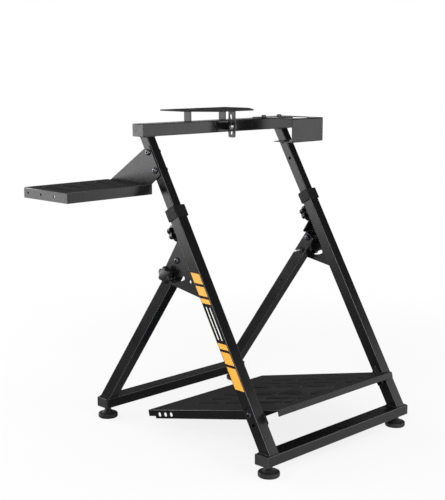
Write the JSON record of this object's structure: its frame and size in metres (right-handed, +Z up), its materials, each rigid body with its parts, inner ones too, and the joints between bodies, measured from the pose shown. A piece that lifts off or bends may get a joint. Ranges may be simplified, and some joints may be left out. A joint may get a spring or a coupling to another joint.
{
  "type": "racing wheel stand",
  "caption": "Folding steel stand for a steering wheel controller: leaning telescopic legs, tilting wheel plate, sloping pedal deck, side shifter tray and cup holder.",
  "frame": {"origin": "on the floor, in the middle of the whole stand's box", "axes": "+X across the stand, from the shifter tray to the cup holder; +Y towards the driver; +Z up"},
  "size_m": [0.7682, 0.616, 0.789],
  "materials": {
    "tube_steel": "black powder coat with a soft sheen on square steel tube",
    "plate_steel": "black powder coat on cut and bent steel sheet",
    "bolt_steel": "zinc-plated bolts and nuts",
    "moulded_plastic": "moulded black nylon with a fine grain",
    "foot_rubber": "black moulded rubber"
  },
  "bodies": {
    "main_frame": {"front_base_tube": "tube_steel", "pedal_plate": "plate_steel", "front_left_plug": "moulded_plastic", "front_left_foot": "foot_rubber", "left_outer_leg": "tube_steel", "left_collar": "moulded_plastic", "left_gusset": "plate_steel", "left_pivot_bolt": "bolt_steel", "left_pedal_bracket": "plate_steel", "front_right_plug": "moulded_plastic", "front_right_foot": "foot_rubber", "right_outer_leg": "tube_steel", "right_collar": "moulded_plastic", "right_gusset": "plate_steel", "right_pivot_bolt": "bolt_steel", "right_pedal_bracket": "plate_steel"},
    "strut_frame": {"rear_base_tube": "tube_steel", "rear_left_plug": "moulded_plastic", "rear_left_foot": "foot_rubber", "left_strut": "tube_steel", "rear_right_plug": "moulded_plastic", "rear_right_foot": "foot_rubber", "right_strut": "tube_steel"},
    "upper_frame": {"top_cross_tube": "tube_steel", "shifter_tray": "plate_steel", "shifter_web": "plate_steel", "cup_holder": "plate_steel", "tilt_tab": "plate_steel", "tilt_bolt": "bolt_steel", "top_left_plug": "moulded_plastic", "left_inner_leg": "tube_steel", "left_hinge_tab": "plate_steel", "left_tilt_pivot": "bolt_steel", "top_right_plug": "moulded_plastic", "right_inner_leg": "tube_steel", "right_hinge_tab": "plate_steel", "right_tilt_pivot": "bolt_steel"},
    "wheel_mount": {"wheel_plate": "plate_steel", "tilt_strap": "plate_steel", "left_plate_ear": "plate_steel", "right_plate_ear": "plate_steel"},
    "left_angle_knob": {"left_angle_knob": "moulded_plastic"},
    "left_height_knob": {"left_height_knob": "moulded_plastic"},
    "right_angle_knob": {"right_angle_knob": "moulded_plastic"},
    "right_height_knob": {"right_height_knob": "moulded_plastic"}
  },
  "joints": [
    {"name": "strut_fold", "type": "hinge", "parent": "main_frame", "child": "strut_frame", "pos_m": [0.11135, -0.00187, 0.45037], "axis": [-1, 0, 0], "range_deg": [0, 58]},
    {"name": "height_slide", "type": "slide", "parent": "main_frame", "child": "upper_frame", "axis": [0, 0.506, 0.8625], "range_m": [-0.065, 0.1]},
    {"name": "wheel_tilt", "type": "hinge", "parent": "upper_frame", "child": "wheel_mount", "pos_m": [0.11135, 0.16096, 0.7475], "axis": [1, 0, 0], "range_deg": [-8, 14]},
    {"name": "left_angle_knob_turn", "type": "hinge", "parent": "strut_frame", "child": "left_angle_knob", "pos_m": [-0.13805, 0.02377, 0.41461], "axis": [-1, 0, 0], "continuous": true},
    {"name": "left_height_knob_turn", "type": "hinge", "parent": "main_frame", "child": "left_height_knob", "pos_m": [-0.12405, 0.0075, 0.5185], "axis": [0, 0.8625, -0.506], "continuous": true},
    {"name": "right_angle_knob_turn", "type": "hinge", "parent": "strut_frame", "child": "right_angle_knob", "pos_m": [0.36075, 0.02377, 0.41461], "axis": [1, 0, 0], "continuous": true},
    {"name": "right_height_knob_turn", "type": "hinge", "parent": "main_frame", "child": "right_height_knob", "pos_m": [0.34675, 0.0075, 0.5185], "axis": [0, 0.8625, -0.506], "continuous": true}
  ]
}
